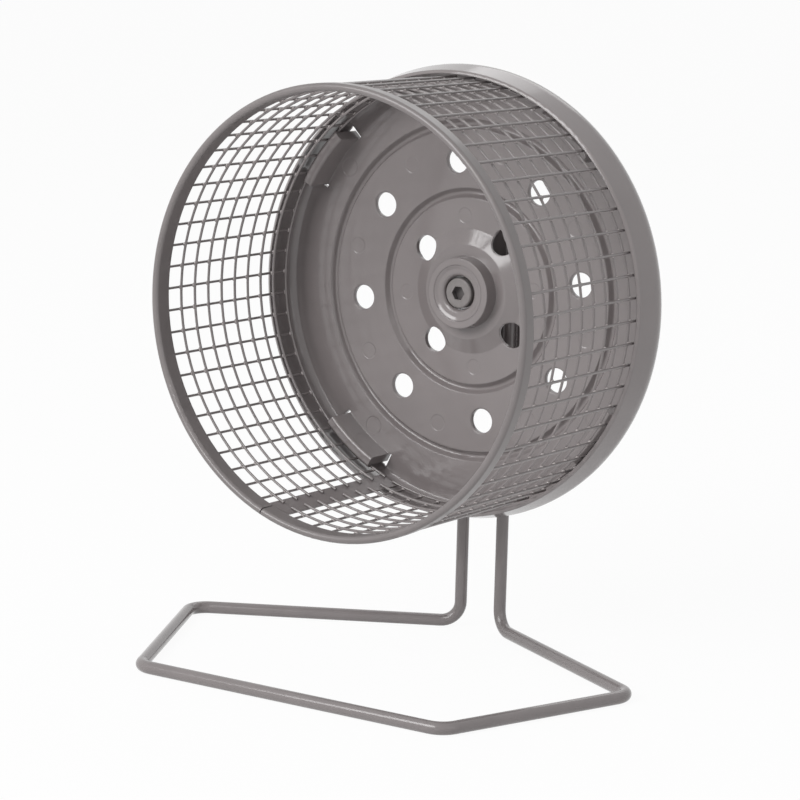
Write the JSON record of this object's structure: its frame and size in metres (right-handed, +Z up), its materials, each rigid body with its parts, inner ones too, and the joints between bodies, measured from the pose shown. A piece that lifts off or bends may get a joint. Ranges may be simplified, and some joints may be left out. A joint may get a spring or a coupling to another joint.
{
  "type": "rodent exercise wheel",
  "caption": "Free-standing rodent exercise wheel: a wire-mesh drum on a moulded, pierced back pan turning on ball bearings at the top of a bent wire stand.",
  "frame": {"origin": "centre of the bounding box's bottom face, on the floor under the wheel", "axes": "+Z up, the wheel's axle along Y with the drum's open side facing -Y, +X to the right seen from the open side"},
  "size_m": [0.246, 0.1828, 0.2697],
  "materials": {
    "stand_paint": "satin",
    "mesh_paint": "satin",
    "hoop_paint": "satin",
    "pan_plastic": "satin",
    "bearing_steel": "satin",
    "screw_finish": "satin"
  },
  "bodies": {
    "stand": {"stand_wire": "stand_paint", "axle_bracket": "stand_paint", "axle_screw": "screw_finish", "bracket_washer": "bearing_steel", "lock_nut": "bearing_steel", "axle_spacer": "bearing_steel", "bearing_spacer": "bearing_steel", "front_bearing_inner_ring": "bearing_steel", "rear_bearing_inner_ring": "bearing_steel"},
    "wheel": {"back_pan": "pan_plastic", "bearing_retainer": "pan_plastic", "front_bearing_outer_ring": "bearing_steel", "rear_bearing_outer_ring": "bearing_steel", "front_bearing_shields": "bearing_steel", "rear_bearing_shields": "bearing_steel", "mesh_ring_wires": "mesh_paint", "mesh_cross_wires": "mesh_paint", "front_hoop": "hoop_paint", "seam_strip": "mesh_paint"},
    "front_cage": {"front_bearing_cage": "bearing_steel", "front_bearing_balls": "bearing_steel"},
    "rear_cage": {"rear_bearing_cage": "bearing_steel", "rear_bearing_balls": "bearing_steel"}
  },
  "joints": [
    {"name": "wheel_spin", "type": "hinge", "parent": "stand", "child": "wheel", "pos_m": [0.00233, 0.05142, 0.16478], "axis": [0, 1, 0], "continuous": true},
    {"name": "front_cage_spin", "type": "hinge", "parent": "stand", "child": "front_cage", "pos_m": [0.00233, 0.05492, 0.16478], "axis": [0, 1, 0], "continuous": true},
    {"name": "rear_cage_spin", "type": "hinge", "parent": "stand", "child": "rear_cage", "pos_m": [0.00233, 0.06562, 0.16478], "axis": [0, 1, 0], "continuous": true}
  ],
  "couplings": [
    {"joint": "front_cage_spin", "follows": "wheel_spin", "ratio": 0.6323},
    {"joint": "rear_cage_spin", "follows": "wheel_spin", "ratio": 0.6323}
  ]
}
